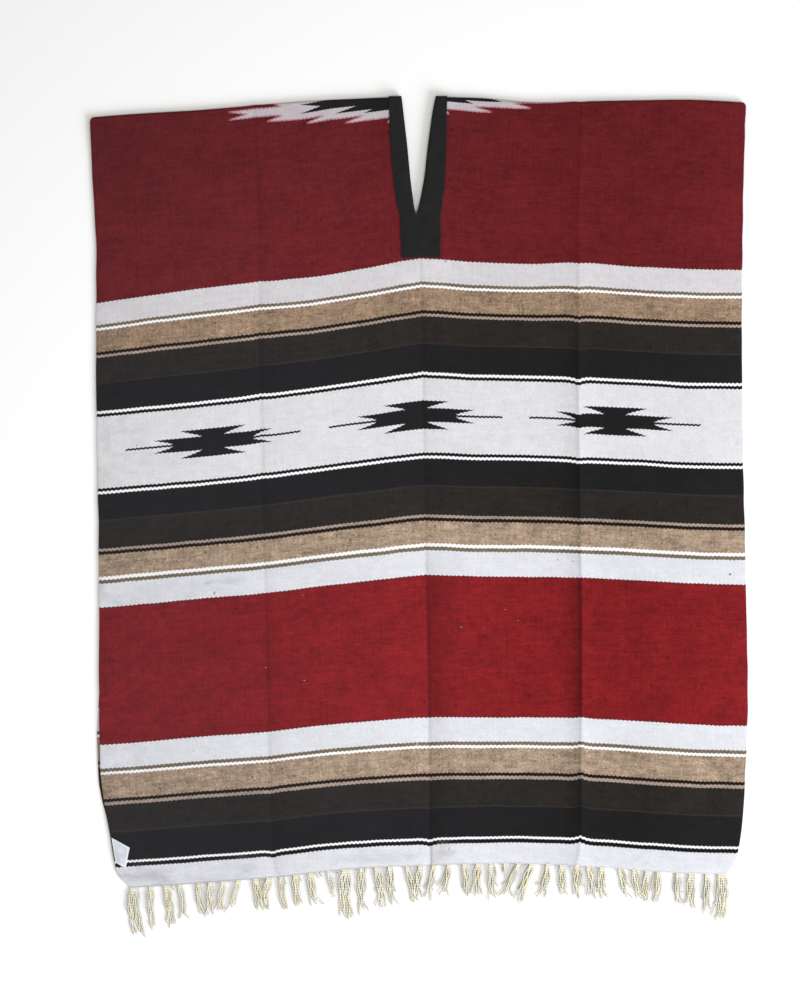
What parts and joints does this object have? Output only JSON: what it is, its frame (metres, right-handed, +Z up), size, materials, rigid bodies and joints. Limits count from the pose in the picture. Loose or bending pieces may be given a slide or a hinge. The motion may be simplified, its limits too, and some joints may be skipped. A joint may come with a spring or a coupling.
{
  "type": "serape poncho laid flat",
  "caption": "Striped woven poncho laid flat and folded at the shoulders, with a bound open neck slit, fringed hems and a blank side label.",
  "frame": {"origin": "on the surface it lies on, under the centre of the bounding box", "axes": "+Y towards the shoulder fold, +X to the right as seen from above with the fold at the top, +Z up out of the front"},
  "size_m": [0.9077, 1.1618, 0.0115],
  "materials": {
    "serape_wool": "weft-faced wool, red with white, tan, brown and black stripes, matt",
    "neck_band": "black woven binding, matt",
    "warp_cotton": "plied cream cotton, matt",
    "label_tape": "blank woven white tape, faint sheen"
  },
  "bodies": {
    "root": {"front_left": "serape_wool", "front_right": "serape_wool", "back_left": "serape_wool", "back_right": "serape_wool", "front_band_left": "neck_band", "front_band_right": "neck_band", "back_band_left": "neck_band", "back_band_right": "neck_band", "front_fringe": "warp_cotton", "back_fringe": "warp_cotton", "label": "label_tape"}
  },
  "joints": []
}
